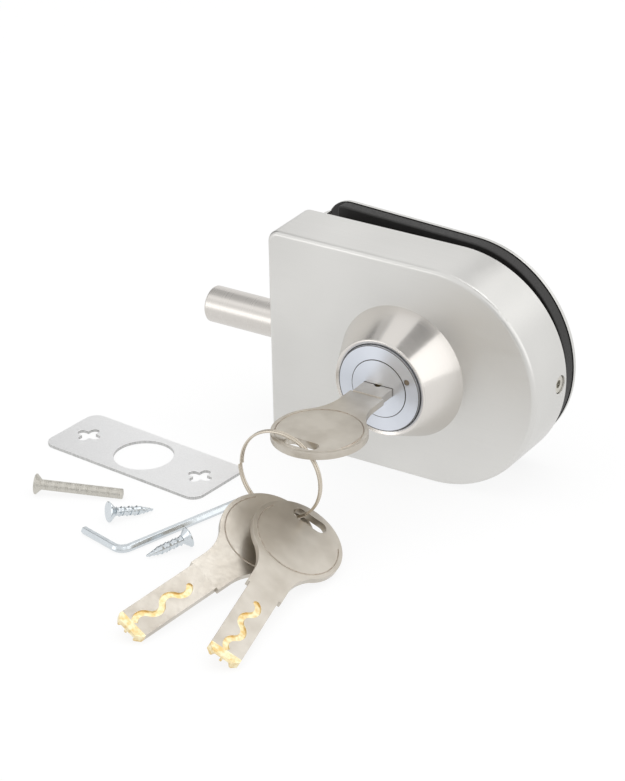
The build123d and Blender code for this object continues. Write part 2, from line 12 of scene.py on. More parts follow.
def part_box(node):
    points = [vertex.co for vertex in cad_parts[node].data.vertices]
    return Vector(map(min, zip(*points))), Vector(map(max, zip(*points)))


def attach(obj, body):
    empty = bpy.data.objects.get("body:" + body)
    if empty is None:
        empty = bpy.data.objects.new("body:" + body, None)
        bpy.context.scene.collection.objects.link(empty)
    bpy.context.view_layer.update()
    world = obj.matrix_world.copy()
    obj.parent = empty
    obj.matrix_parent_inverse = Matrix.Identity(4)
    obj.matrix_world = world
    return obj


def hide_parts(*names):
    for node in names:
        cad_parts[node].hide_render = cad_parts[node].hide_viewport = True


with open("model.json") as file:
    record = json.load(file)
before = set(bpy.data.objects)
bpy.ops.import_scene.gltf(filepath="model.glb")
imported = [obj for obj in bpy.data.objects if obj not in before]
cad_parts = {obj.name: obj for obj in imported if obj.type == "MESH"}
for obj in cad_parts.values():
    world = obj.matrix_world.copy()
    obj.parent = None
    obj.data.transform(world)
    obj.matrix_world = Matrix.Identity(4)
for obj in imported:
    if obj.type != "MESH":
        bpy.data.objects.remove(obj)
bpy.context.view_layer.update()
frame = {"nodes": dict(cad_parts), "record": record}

bl_info = {
    "name": "Glass Door Lock",
    "version": (1, 0, 0),
    "blender": (4, 5, 0),
    "location": "View3D > Sidebar > Glass Door Lock",
    "description": "Surfaces and fine shapes of a clamp-on glass door lock with its keys and fixings",
    "category": "Object",
}

MM = 0.001

# Cylinder: its axis, and the two dark seams in its face
AXIS = (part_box("cylinder_plug")[0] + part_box("cylinder_plug")[1]) / 2
PLUG_SEAM_RADIUS = 8.38 * MM
RIM_SEAM_RADIUS = 12.45 * MM
SEAM_WIDTH = 0.24 * MM

# Copies of CAD meshes: points closer than this are one, and so are faces that turn by less than this
JOIN_DISTANCE = 0.002 * MM
FLAT_ANGLE = math.radians(0.3)

# Edges: sharper than the first angle they are rounded, sharper than the second shaded as edges
BEVEL_ANGLE = math.radians(35)
BEVEL_SEGMENTS = 2
SHARP_ANGLE = math.radians(40)

# Faces given a second material that paints shade: how squarely a face of the rear plate looks at the
# glass, and how far a sheet's edge may lean
PAINTED_SHADE_FACING = 0.9
EDGE_LEAN = 0.5

# Keys: their finishes, and their sizes, with the reach along a key measured from its tip
KEY_FINISHES = ("nickel_plate", "milled_brass", "rim_shadow_brass")
BLADE_LENGTH = 28.5 * MM
BLADE_HALF_WIDTH = 4.45 * MM
BLADE_HALF_THICKNESS = 1.1 * MM
NECK_MARGIN = 1.0 * MM
SIDE_MARGIN = 0.5 * MM
CUT_MARGIN = 0.1 * MM
FORK_LENGTH = 2.8 * MM
CUT_DISTANCE = 0.001 * MM
MEDALLION_REACH = 52.2 * MM
MEDALLION_HALF_THICKNESS = 1.05 * MM
BEAD_PATH_RADIUS = 11.6 * MM
BEAD_RADIUS = 0.14 * MM
BEAD_STEPS = 80
BEAD_SIDES = 10
BEAD_GAP = 62.0

# Split ring: its wire, the step between turns in wire radii, and how far in from its box the path lies
RING_WIRE_RADIUS = 0.36 * MM
RING_TURN_STEP = 2.05
RING_INSET = 0.288 * MM
RING_STEPS = 96
RING_SIDES = 20

# Screws: head, point and thread, where a fraction is a share of the head, the core, the ridge or the pitch
HEAD_RIM = 0.4 * MM
HEAD_EDGE_DEPTH = 0.12 * MM
HEAD_EDGE_WIDTH = 0.15 * MM
RECESS_DEPTH = 0.9 * MM
RECESS_ARM = 0.22
LATHE_SEGMENTS = 48
POINT_DEPTH = 0.02 * MM
POINT_WIDTH = 0.2
RIDGE_SHOWING = 0.85
THREAD_RUN_IN = 0.2 * MM
THREAD_RUN_OUT = 0.3
TIP_RIDGE = 0.7
TIP_CORE = 0.15
THREAD_STEPS = 28
THREAD_SIDES = 3
THREAD_SHARP_ANGLE = math.radians(35)

# Camera of the photograph: the point it looks at, its distance, direction and roll
PHOTO_WIDTH = 625
PHOTO_HEIGHT = 781
FOCAL_PIXELS = 3160.5
SENSOR = 36.0
TARGET = Vector((-0.028917, -0.00865, 0.018253))
DISTANCE = 0.875911
AZIMUTH = 33.047
ELEVATION = 27.2
ROLL = -1.27
CLIP_START = 0.01
CLIP_END = 20.0

# Stage: the floor, the soft lamp overhead, and where the other lamps point
WHITE = (1, 1, 1, 1)
FLOOR_SIZE = 6.0
FLOOR_WHITENESS = 0.86
OVERHEAD_PLACE = (0.0, -0.1, 1.1)
OVERHEAD_SIZE = 1.3
LAMP_TARGET = (0, 0, 0.03)

# Soft lamps that draw the highlights on the metal: place in metres, width, share of the side power
SOFT_LAMPS = (
    ("right_side", (0.66, 0.03, 0.37), 0.72, 1.2),
    ("left_above", (-0.44, -0.36, 0.7), 0.3, 0.14),
    ("left_front", (-0.5, -0.7, 0.16), 0.35, 0.6),
    ("front_right", (0.66, -0.78, 0.82), 0.4, 0.4),
    ("back_above", (0.2, 0.43, 0.82), 0.36, 0.8),
    ("back_right", (0.44, 0.7, 0.47), 0.3, 0.2),
)

# Grey cards that only the metal mirrors, as a photographer stands them round bright metal: direction
# from the lock, width, height, brightness
CARD_DISTANCE = 0.6
CARDS = (
    ("card_left", (-0.87, 0.33, 0.3), 0.38, 0.7, 0.26),
    ("card_above_right", (0.33, 0.03, 0.95), 0.17, 0.3, 0.25),
    ("card_above_left", (-0.56, 0.08, 0.82), 0.3, 0.14, 0.58),
    ("card_front", (0.1, -1.0, 0.08), 0.4, 0.24, 0.3),
    ("card_back", (-0.08, 0.75, 0.66), 0.13, 0.2, 0.42),
)

# Middle part of a noise's values, over which a roughness or a colour goes from one end to the other
ROUGHNESS_SPREAD = (0.3, 0.7)
COLOUR_SPREAD = (0.35, 0.65)

# Sockets of the Mix node when it mixes colours
MIX_SHARE = 0
MIX_FIRST = 6
MIX_SECOND = 7
MIX_RESULT = 2


# Colours and nodes

def linear(hex_colour):
    """Linear colour with alpha from an sRGB hex value such as #D9D6D0."""
    channels = []
    for start in (1, 3, 5):
        value = int(hex_colour[start:start + 2], 16) / 255
        channels.append(value / 12.92 if value <= 0.04045 else ((value + 0.055) / 1.055) ** 2.4)
    return (*channels, 1.0)


def add(tree, kind, settings=None, links=()):
    """Adds a node: settings are options or input values, links are pairs of input and source socket."""
    node = tree.nodes.new(kind)
    for name, value in (settings or {}).items():
        if isinstance(name, str) and name in node.bl_rna.properties:
            setattr(node, name, value)
        else:
            node.inputs[name].default_value = value
    for name, source in links:
        tree.links.new(source, node.inputs[name])
    return node


def empty_tree(owner):
    """Node tree of a material or a world, with nothing in it."""
    owner.use_nodes = True
    owner.node_tree.nodes.clear()
    return owner.node_tree


def new_material(name, colour, roughness, metallic=1.0):
    """Material with a Principled shader; returns it with its tree and shader node."""
    material = bpy.data.materials.new(name)
    material.use_nodes = True
    tree = material.node_tree
    shader = tree.nodes["Principled BSDF"]
    shader.inputs["Base Color"].default_value = linear(colour)
    shader.inputs["Metallic"].default_value = metallic
    shader.inputs["Roughness"].default_value = roughness
    return material, tree, shader


def pattern(tree, grain, detail=2.0, roughness=0.5):
    """Noise on object coordinates; grain is its size in mm along x, y and z, or 0 for no change."""
    repeats = [1 / (size * MM) if size else 0 for size in grain]
    coordinates = add(tree, "ShaderNodeTexCoord")
    mapping = add(tree, "ShaderNodeMapping", {"Scale": repeats},
                  [("Vector", coordinates.outputs["Object"])])
    noise = add(tree, "ShaderNodeTexNoise", {"Scale": 1.0, "Detail": detail, "Roughness": roughness},
                [("Vector", mapping.outputs["Vector"])])
    return noise.outputs["Fac"]


def uneven(tree, shader, source, low, high, depth=0.0, strength=0.0):
    """Spreads a pattern over the roughness, and raises it by a depth in mm where one is given."""
    first, last = ROUGHNESS_SPREAD
    settings = {"From Min": first, "From Max": last, "To Min": low, "To Max": high}
    spread = add(tree, "ShaderNodeMapRange", settings, [("Value", source)])
    tree.links.new(spread.outputs["Result"], shader.inputs["Roughness"])
    if depth > 0:
        relief = add(tree, "ShaderNodeBump", {"Strength": strength, "Distance": depth * MM},
                     [("Height", source)])
        tree.links.new(relief.outputs["Normal"], shader.inputs["Normal"])


def vary_colour(tree, shader, source, one, other, between=COLOUR_SPREAD):
    """Spreads a pattern over the colours from one to the other."""
    first, last = between
    spread = add(tree, "ShaderNodeMapRange", {"From Min": first, "From Max": last}, [("Value", source)])
    settings = {"data_type": "RGBA", MIX_FIRST: linear(one), MIX_SECOND: linear(other)}
    mix = add(tree, "ShaderNodeMix", settings, [(MIX_SHARE, spread.outputs["Result"])])
    tree.links.new(mix.outputs[MIX_RESULT], shader.inputs["Base Color"])


def lathe_sheen(tree, shader, amount):
    """Draws the highlights out across the fine rings that a lathe leaves round the y axis."""
    shader.inputs["Anisotropic"].default_value = amount
    shader.inputs["Anisotropic Rotation"].default_value = 0.25
    tangent = add(tree, "ShaderNodeTangent", {"direction_type": "RADIAL", "axis": "Y"})
    tree.links.new(tangent.outputs["Tangent"], shader.inputs["Tangent"])


def axis_radius(tree):
    """Distance from the cylinder's axis, in metres."""
    coordinates = add(tree, "ShaderNodeTexCoord")
    centred = add(tree, "ShaderNodeVectorMath", {"operation": "SUBTRACT", 1: (AXIS.x, 0, AXIS.z)},
                  [(0, coordinates.outputs["Object"])])
    flat = add(tree, "ShaderNodeVectorMath", {"operation": "MULTIPLY", 1: (1, 0, 1)},
               [(0, centred.outputs["Vector"])])
    length = add(tree, "ShaderNodeVectorMath", {"operation": "LENGTH"}, [(0, flat.outputs["Vector"])])
    return length.outputs["Value"]


# Materials

def brushed_stainless():
    """Brushed 304 stainless: a soft satin sheen with fine grain along the length, drawn at 0.4 mm."""
    material, tree, shader = new_material("brushed_stainless", "#D9D8D5", 0.36)
    grain = pattern(tree, (14.3, 0.417, 0.417), detail=3.0)
    cloud = pattern(tree, (33.3, 33.3, 33.3), detail=1.0)
    uneven(tree, shader, grain, 0.33, 0.42, depth=0.01, strength=0.5)
    vary_colour(tree, shader, cloud, "#D5D4D1", "#DDDCD9")
    return material


def turned_stainless():
    """Stainless turned on a lathe: satin, with rings of tool marks about 0.3 mm apart."""
    material, tree, shader = new_material("turned_stainless", "#DDD9D4", 0.22)
    rings = pattern(tree, (0, 0.303, 0))
    uneven(tree, shader, rings, 0.19, 0.27, depth=0.006, strength=0.5)
    lathe_sheen(tree, shader, 0.5)
    return material


def chromed_brass():
    """Chrome on brass faced on a lathe: cool and bright, with light and grey sectors from its rings.

    The rings are 0.25 mm apart, and the seams round the plug and the face show as dark lines.
    """
    material, tree, shader = new_material("chromed_brass", "#DADEE6", 0.3)
    distance = axis_radius(tree)
    rings = add(tree, "ShaderNodeTexNoise",
                {"noise_dimensions": "1D", "Scale": 1 / (0.25 * MM), "Detail": 2.0}, [("W", distance)])
    relief = add(tree, "ShaderNodeBump", {"Strength": 0.4, "Distance": 0.008 * MM},
                 [("Height", rings.outputs["Fac"])])
    tree.links.new(relief.outputs["Normal"], shader.inputs["Normal"])
    seams = []
    for radius in (PLUG_SEAM_RADIUS, RIM_SEAM_RADIUS):
        settings = {"operation": "COMPARE", 1: radius, 2: SEAM_WIDTH / 2}
        seams.append(add(tree, "ShaderNodeMath", settings, [(0, distance)]).outputs["Value"])
    either = add(tree, "ShaderNodeMath", {"operation": "MAXIMUM"}, [(0, seams[0]), (1, seams[1])])
    vary_colour(tree, shader, either.outputs["Value"], "#DADEE6", "#55534F", between=(0, 1))
    lathe_sheen(tree, shader, 0.85)
    return material


def nickel_plate():
    """Nickel plate over stamped brass: warm grey, with fine rubbing marks and a faint cloudiness."""
    material, tree, shader = new_material("nickel_plate", "#C9C2B7", 0.34)
    rubbing = pattern(tree, (1.11, 1.11, 1.11), detail=4.0, roughness=0.7)
    cloud = pattern(tree, (7.14, 7.14, 7.14))
    uneven(tree, shader, rubbing, 0.30, 0.42, depth=0.02, strength=0.35)
    vary_colour(tree, shader, cloud, "#C2BBB0", "#D1CBC1")
    return material


def milled_brass():
    """Bare brass in the milled track: bright pale gold, with cutter marks."""
    material, tree, shader = new_material("milled_brass", "#EFDCA6", 0.36)
    marks = pattern(tree, (1.43, 1.43, 1.43))
    uneven(tree, shader, marks, 0.3, 0.42)
    vary_colour(tree, shader, marks, "#E2C487", "#FAF0CC")
    return material


def rim_shadow_brass():
    """Rim of the medallion in a dull pinkish brown, darker than the nickel: painted shadow of the raised
    rim.
    """
    material, tree, shader = new_material("rim_shadow_brass", "#B3A596", 0.38)
    rim_tone = pattern(tree, (1.11, 1.11, 1.11))
    uneven(tree, shader, rim_tone, 0.32, 0.46)
    vary_colour(tree, shader, rim_tone, "#A39383", "#C2B8AC")
    return material


def tempered_wire():
    """Nickel-plated spring wire of the ring: smooth and warm, with a soft shine."""
    material, tree, shader = new_material("tempered_wire", "#CFC6B8", 0.26)
    marks = pattern(tree, (0.833, 0.833, 0.833))
    uneven(tree, shader, marks, 0.22, 0.34)
    return material


def turned_bolt_steel():
    """Ground stainless bar: satin along its length, its very fine rings drawn at 0.33 mm."""
    material, tree, shader = new_material("turned_bolt_steel", "#D3CFCA", 0.3)
    rings = pattern(tree, (0.333, 0, 0))
    uneven(tree, shader, rings, 0.26, 0.34, depth=0.006, strength=0.5)
    return material


def rolled_stainless():
    """Rolled stainless sheet of the strike plate: pale and matt, with a sandy grain of 0.3 mm."""
    material, tree, shader = new_material("rolled_stainless", "#F8F8F8", 0.42)
    sand = pattern(tree, (0.333, 0.333, 0.333), detail=3.0, roughness=0.7)
    uneven(tree, shader, sand, 0.38, 0.48, depth=0.01, strength=0.4)
    vary_colour(tree, shader, sand, "#F3F3F3", "#FCFCFC")
    return material


def sheared_edge_and_shade():
    """Edge of sheet where the press has sheared it: rougher than the face, and darker, partly for the
    sheared metal and partly as painted shadow where the plate meets the floor.
    """
    material, tree, shader = new_material("sheared_edge_and_shade", "#C4C4C3", 0.5)
    tears = pattern(tree, (0.25, 0.25, 1.67))
    uneven(tree, shader, tears, 0.42, 0.6)
    vary_colour(tree, shader, tears, "#B5B5B4", "#D2D2D1")
    return material


def bright_zinc():
    """Bright zinc plate: a cool bluish white that shines, slightly rippled."""
    material, tree, shader = new_material("bright_zinc", "#D3D9DD", 0.22)
    ripple = pattern(tree, (1.43, 1.43, 1.43))
    uneven(tree, shader, ripple, 0.15, 0.28, depth=0.03, strength=0.3)
    return material


def plain_steel():
    """Bare machine-screw steel: greyer and warmer than zinc."""
    material, tree, shader = new_material("plain_steel", "#CFCCC4", 0.42)
    marks = pattern(tree, (0.667, 0.667, 0.667))
    uneven(tree, shader, marks, 0.38, 0.48)
    return material


def nitrile_rubber():
    """Moulded black nitrile rubber: near black and matt, with a fine pebble from the mould."""
    material, tree, shader = new_material("nitrile_rubber", "#262524", 0.55, metallic=0.0)
    pebble = pattern(tree, (0.455, 0.455, 0.455))
    uneven(tree, shader, pebble, 0.48, 0.65, depth=0.03, strength=0.5)
    return material


def drawn_brass():
    """Drawn brass of the pins: yellow and smooth."""
    material, tree, shader = new_material("drawn_brass", "#D9B562", 0.28)
    marks = pattern(tree, (0.667, 0.667, 0.667))
    uneven(tree, shader, marks, 0.24, 0.36)
    return material


def dull_brass():
    """Index pin that has tarnished to a grey brown."""
    material, tree, shader = new_material("dull_brass", "#8A7F70", 0.4)
    marks = pattern(tree, (0.4, 0.4, 0.4))
    uneven(tree, shader, marks, 0.35, 0.5)
    return material


def spring_steel():
    """Bright drawn spring wire."""
    material, tree, shader = new_material("spring_steel", "#B9BABD", 0.25)
    marks = pattern(tree, (0.5, 0.5, 0.5), detail=1.0)
    uneven(tree, shader, marks, 0.2, 0.32)
    return material


MAKERS = {maker.__name__: maker for maker in (
    brushed_stainless, turned_stainless, chromed_brass, nickel_plate, milled_brass, rim_shadow_brass,
    tempered_wire, turned_bolt_steel, rolled_stainless, sheared_edge_and_shade, bright_zinc, plain_steel,
    nitrile_rubber, drawn_brass, dull_brass, spring_steel,
)}


def finish(name):
    """The material of that name, made the first time it is asked for."""
    return bpy.data.materials.get(name) or MAKERS[name]()


# Meshes

def body_of_node(node):
    """Name of the body that carries a node."""
    for body, nodes in frame["record"]["behaviour"]["bodies"].items():
        if node in nodes:
            return body
    raise KeyError(node)


def object_from(name, data):
    """Object with a mesh, a lamp or a camera, linked to the scene."""
    made = bpy.data.objects.new(name, data)
    bpy.context.scene.collection.objects.link(made)
    return made


def mesh_from(name, work):
    """Mesh of a bmesh, which is freed."""
    mesh = bpy.data.meshes.new(name)
    work.to_mesh(mesh)
    work.free()
    return mesh


def bake(made):
    """Replaces an object's mesh with its evaluated one and removes its modifiers."""
    bpy.context.view_layer.update()
    graph = bpy.context.evaluated_depsgraph_get()
    mesh = bpy.data.meshes.new_from_object(made.evaluated_get(graph))
    made.modifiers.clear()
    made.data = mesh
    mesh.name = made.name


def claim(made, node):
    """The object stands for a node: it rides on the node's body, and the node is hidden."""
    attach(made, body_of_node(node))
    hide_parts(node)


def soften_edges(made, width):
    """Breaks the sharp edges by a small round, as a deburred part has, and evens the shading."""
    for polygon in made.data.polygons:
        polygon.use_smooth = True
    if width > 0:
        bevel = made.modifiers.new("soft edges", "BEVEL")
        bevel.width = width
        bevel.segments = BEVEL_SEGMENTS
        bevel.limit_method = "ANGLE"
        bevel.angle_limit = BEVEL_ANGLE
    bake(made)
    made.data.set_sharp_from_angle(angle=SHARP_ANGLE)
    weighted = made.modifiers.new("even shading", "WEIGHTED_NORMAL")
    weighted.keep_sharp = True
    bake(made)


def merged_copy(node):
    """Copy of a node's mesh with its loose triangles joined and its flat faces made whole."""
    mesh = frame["nodes"][node].data.copy()
    mesh.materials.clear()
    work = bmesh.new()
    work.from_mesh(mesh)
    bmesh.ops.remove_doubles(work, verts=work.verts, dist=JOIN_DISTANCE)
    bmesh.ops.dissolve_limit(work, angle_limit=FLAT_ANGLE, verts=work.verts, edges=work.edges)
    work.to_mesh(mesh)
    work.free()
    mesh.update()
    return mesh


def carried(node, material, width):
    """A node's own shape with softened edges and a material."""
    made = object_from(node + "_finished", merged_copy(node))
    made.data.materials.append(finish(material))
    soften_edges(made, width)
    claim(made, node)
    return made


def second_finish(made, material, chosen):
    """Gives another material to the faces whose normals pass a test."""
    made.data.materials.append(finish(material))
    for polygon in made.data.polygons:
        if chosen(polygon.normal):
            polygon.material_index = 1


def solid_axes(points, triangles):
    """Centre of a closed solid and its own axes, the longest first.

    Both come from the solid's volume, as the sum of the tetrahedra from one point to each triangle.
    """
    origin = points.mean(0)
    corners = points[triangles] - origin
    volumes = np.einsum("ij,ij->i", corners[:, 0], np.cross(corners[:, 1], corners[:, 2])) / 6
    sums = corners.sum(1)
    whole = volumes.sum()
    centre = (volumes[:, None] * sums).sum(0) / (4 * whole)
    second = np.einsum("i,ij,ik->jk", volumes, sums, sums)
    second += np.einsum("i,inj,ink->jk", volumes, corners, corners)
    spread = second / (20 * whole) - np.outer(centre, centre)
    return centre + origin, np.linalg.eigh(spread)[1].T[::-1]


def mesh_arrays(mesh):
    """Points and triangles of a mesh."""
    mesh.calc_loop_triangles()
    points = np.array([vertex.co for vertex in mesh.vertices])
    triangles = np.array([triangle.vertices for triangle in mesh.loop_triangles])
    return points, triangles


def loose_solids(mesh):
    """Points and triangles of each separate solid of a mesh."""
    points, triangles = mesh_arrays(mesh)
    label = np.arange(len(points))
    settled = False
    while not settled:
        lowest = label[triangles].min(1)
        before = label.copy()
        for corner in range(3):
            np.minimum.at(label, triangles[:, corner], lowest)
        settled = (label == before).all()
    names = np.unique(label[triangles])
    return [(points, triangles[label[triangles[:, 0]] == name]) for name in names]


def screw_axis(points, triangles):
    """Middle of the head's face, the direction to the tip, and the length of a screw."""
    centre, axes = solid_axes(points, triangles)
    direction = axes[0]
    away = points[np.unique(triangles)] - centre
    along = away @ direction
    across = np.linalg.norm(away - np.outer(along, direction), axis=1)
    if along[across.argmax()] > 0:
        direction = -direction
        along = -along
    axis = Vector(direction)
    return Vector(centre) + axis * along.min(), axis, along.max() - along.min()


def turned(profile):
    """Mesh turned about local x from (x, radius) points; the first and last lie on the axis."""
    work = bmesh.new()
    rings = []
    for x, radius in profile:
        if radius <= 0:
            rings.append([work.verts.new((x, 0, 0))])
            continue
        ring = []
        for k in range(LATHE_SEGMENTS):
            angle = 2 * math.pi * k / LATHE_SEGMENTS
            ring.append(work.verts.new((x, radius * math.cos(angle), radius * math.sin(angle))))
        rings.append(ring)
    for low, high in zip(rings, rings[1:]):
        for k in range(LATHE_SEGMENTS):
            n = (k + 1) % LATHE_SEGMENTS
            if len(low) == 1:
                work.faces.new((low[0], high[k], high[n]))
            elif len(high) == 1:
                work.faces.new((low[k], high[0], low[n]))
            else:
                work.faces.new((low[k], high[k], high[n], low[n]))
    bmesh.ops.recalc_face_normals(work, faces=work.faces)
    return mesh_from("turned", work)


def coil_tree():
    """Geometry nodes for a coil, a thread's ridge or a wound wire, with inputs for its sizes."""
    tree = bpy.data.node_groups.get("coil")
    if tree:
        return tree
    tree = bpy.data.node_groups.new("coil", "GeometryNodeTree")
    tree.is_modifier = True
    tree.interface.new_socket("Geometry", in_out="OUTPUT", socket_type="NodeSocketGeometry")
    for name in ("Turns", "Start Radius", "End Radius", "Height", "Section Radius"):
        tree.interface.new_socket(name, in_out="INPUT", socket_type="NodeSocketFloat")
    for name in ("Steps", "Section Sides"):
        tree.interface.new_socket(name, in_out="INPUT", socket_type="NodeSocketInt")
    tree.interface.new_socket("Material", in_out="INPUT", socket_type="NodeSocketMaterial")
    inputs = add(tree, "NodeGroupInput").outputs
    path = add(tree, "GeometryNodeCurveSpiral", {}, [
        ("Resolution", inputs["Steps"]), ("Rotations", inputs["Turns"]),
        ("Start Radius", inputs["Start Radius"]), ("End Radius", inputs["End Radius"]),
        ("Height", inputs["Height"])])
    section = add(tree, "GeometryNodeCurvePrimitiveCircle", {}, [
        ("Resolution", inputs["Section Sides"]), ("Radius", inputs["Section Radius"])])
    wire = add(tree, "GeometryNodeCurveToMesh", {"Fill Caps": True}, [
        ("Curve", path.outputs["Curve"]), ("Profile Curve", section.outputs["Curve"])])
    smooth = add(tree, "GeometryNodeSetShadeSmooth", {}, [("Geometry", wire.outputs["Mesh"])])
    whole = add(tree, "GeometryNodeRealizeInstances", {}, [("Geometry", smooth.outputs["Geometry"])])
    painted = add(tree, "GeometryNodeSetMaterial", {}, [
        ("Geometry", whole.outputs["Geometry"]), ("Material", inputs["Material"])])
    add(tree, "NodeGroupOutput", {}, [("Geometry", painted.outputs["Geometry"])])
    return tree


def coil_mesh(name, material, **sizes):
    """Plain mesh of a coil, with no object left; sizes are the tree's inputs in small letters."""
    tree = coil_tree()
    made = object_from(name, bpy.data.meshes.new(name))
    modifier = made.modifiers.new("coil", "NODES")
    modifier.node_group = tree
    values = {key.replace("_", " ").title(): value for key, value in sizes.items()}
    values["Material"] = finish(material)
    for item in tree.interface.items_tree:
        if item.in_out == "INPUT":
            modifier[item.identifier] = values[item.name]
    bake(made)
    mesh = made.data
    bpy.data.objects.remove(made)
    return mesh


# Sizes and colours that a user would change

class LockSizes(PropertyGroup):
    edge_round: FloatProperty(
        name="Edge round", description="Round on the machined edges", default=0.15 * MM, min=0.0,
        unit="LENGTH", subtype="DISTANCE")
    machine_pitch: FloatProperty(
        name="Machine thread pitch", description="Rise of the machine screw's thread in one turn",
        default=0.5 * MM, unit="LENGTH", subtype="DISTANCE")
    tapping_pitch: FloatProperty(
        name="Tapping thread pitch", description="Rise of a tapping screw's thread in one turn",
        default=1.1 * MM, unit="LENGTH", subtype="DISTANCE")
    ring_turns: IntProperty(
        name="Ring turns", description="Turns of wire in the split ring", default=2, min=1)


class StageLook(PropertyGroup):
    floor_colour: FloatVectorProperty(
        name="Floor", description="Colour of the floor", default=(0.9, 0.9, 0.9), subtype="COLOR")
    overhead_power: FloatProperty(
        name="Overhead power", description="Power of the soft lamp overhead", default=5.0,
        unit="POWER")
    side_power: FloatProperty(
        name="Side power", description="Power that the smaller soft lamps share", default=0.7,
        unit="POWER")
    world_level: FloatProperty(
        name="Surroundings", description="Brightness of the pale surroundings", default=0.8)


# Operators

class LOCK_OT_case(Operator):
    """Finishes the case, its base plate and the screws in it"""
    bl_idname = "lock.case"
    bl_label = "Case"

    def execute(self, context):
        soft = context.scene.lock_sizes.edge_round
        carried("front_cover", "brushed_stainless", soft)
        carried("base_plate", "bright_zinc", soft)
        carried("base_screws", "bright_zinc", soft)
        carried("cover_grub_screw", "plain_steel", soft)
        carried("bridge_block", "brushed_stainless", 2 * soft)
        return {"FINISHED"}


class LOCK_OT_cylinder(Operator):
    """Finishes the collar, the cylinder, its plug and its pins"""
    bl_idname = "lock.cylinder"
    bl_label = "Cylinder"

    def execute(self, context):
        soft = context.scene.lock_sizes.edge_round
        carried("cylinder_collar", "turned_stainless", 0)
        carried("cylinder_housing", "chromed_brass", soft)
        carried("cylinder_plug", "chromed_brass", soft)
        carried("housing_pin", "dull_brass", soft)
        carried("chamber_cap", "drawn_brass", 0.5 * soft)
        carried("key_pins", "drawn_brass", 0)
        carried("driver_pins", "drawn_brass", 0.5 * soft)
        carried("pin_springs", "spring_steel", 0)
        return {"FINISHED"}


class LOCK_OT_drive(Operator):
    """Finishes the bolt, and the pinion and rack that move it"""
    bl_idname = "lock.drive"
    bl_label = "Bolt drive"

    def execute(self, context):
        soft = context.scene.lock_sizes.edge_round
        carried("bolt", "turned_bolt_steel", soft)
        for node in ("drive_pinion", "rack_slide", "rack_guide", "bolt_guide", "bolt_screw",
                     "tail_screw"):
            carried(node, "bright_zinc", 0.5 * soft)
        return {"FINISHED"}


class LOCK_OT_glass_clamp(Operator):
    """Finishes the sheets that hold the glass, and the clamp, whose rear plate has black painted on its
    inner face as the shade in the gap
    """
    bl_idname = "lock.glass_clamp"
    bl_label = "Glass clamp"

    def execute(self, context):
        soft = context.scene.lock_sizes.edge_round
        carried("front_gasket", "nitrile_rubber", soft)
        carried("rear_gasket", "nitrile_rubber", 3 * soft)
        plate = carried("rear_plate", "brushed_stainless", soft)
        # Black rubber on the rear plate's inner face is painted shade: it darkens the face as the shaded
        # gap behind the gasket does
        second_finish(plate, "nitrile_rubber", lambda normal: normal.y < -PAINTED_SHADE_FACING)
        carried("clamp_screws", "bright_zinc", soft)
        return {"FINISHED"}


class LOCK_OT_keys(Operator):
    """Finishes the three keys, with bare brass where the track is milled"""
    bl_idname = "lock.keys"
    bl_label = "Keys"

    def execute(self, context):
        soft = context.scene.lock_sizes.edge_round
        for node in ("key_in_lock", "spare_key_upper", "spare_key_lower"):
            make_key(node, soft)
        return {"FINISHED"}


def key_frame(mesh):
    """Tip of a key, and the directions along it and square to its face."""
    points, triangles = mesh_arrays(mesh)
    centre, axes = solid_axes(points, triangles)
    face = max(mesh.polygons, key=lambda polygon: polygon.area).normal.normalized()
    along = Vector(axes[0])
    along = (along - face * along.dot(face)).normalized()
    away = points - centre
    reach = away @ np.array(along)
    across = np.abs(away @ axes[1])
    if reach[across.argmax()] < 0:
        along = -along
        reach = -reach
    return Vector(centre) + along * reach.min(), along, face


def cut_across(mesh, point, direction):
    """Divides the faces of a mesh along a plane, without opening it."""
    work = bmesh.new()
    work.from_mesh(mesh)
    everything = work.verts[:] + work.edges[:] + work.faces[:]
    bmesh.ops.bisect_plane(work, geom=everything, plane_co=point, plane_no=direction,
                           dist=CUT_DISTANCE)
    work.to_mesh(mesh)
    work.free()


def add_beads(mesh, centre, along, normal):
    """Adds the fine raised rim coined round the medallion, on both faces, clear of the ring's slot."""
    side = normal.cross(along)
    rim_shadow_slot = KEY_FINISHES.index("rim_shadow_brass")
    work = bmesh.new()
    work.from_mesh(mesh)
    for face_side in (-1, 1):
        middle = centre + normal * face_side * MEDALLION_HALF_THICKNESS
        rings = []
        for k in range(BEAD_STEPS + 1):
            turn = math.radians(BEAD_GAP + (360 - 2 * BEAD_GAP) * k / BEAD_STEPS)
            out = along * math.cos(turn) + side * math.sin(turn)
            ring = []
            for j in range(BEAD_SIDES):
                tilt = 2 * math.pi * j / BEAD_SIDES
                point = middle + out * (BEAD_PATH_RADIUS + BEAD_RADIUS * math.cos(tilt))
                ring.append(work.verts.new(point + normal * BEAD_RADIUS * math.sin(tilt)))
            rings.append(ring)
        made = [work.faces.new(rings[0]), work.faces.new(rings[-1])]
        for here, there in zip(rings, rings[1:]):
            for j in range(BEAD_SIDES):
                n = (j + 1) % BEAD_SIDES
                made.append(work.faces.new((here[j], there[j], there[n], here[n])))
        bmesh.ops.recalc_face_normals(work, faces=made)
        for face in made:
            face.smooth = len(face.verts) == 4
            # The bead's brown is painted shadow along the raised rim of the medallion
            face.material_index = rim_shadow_slot
    work.to_mesh(mesh)
    work.free()


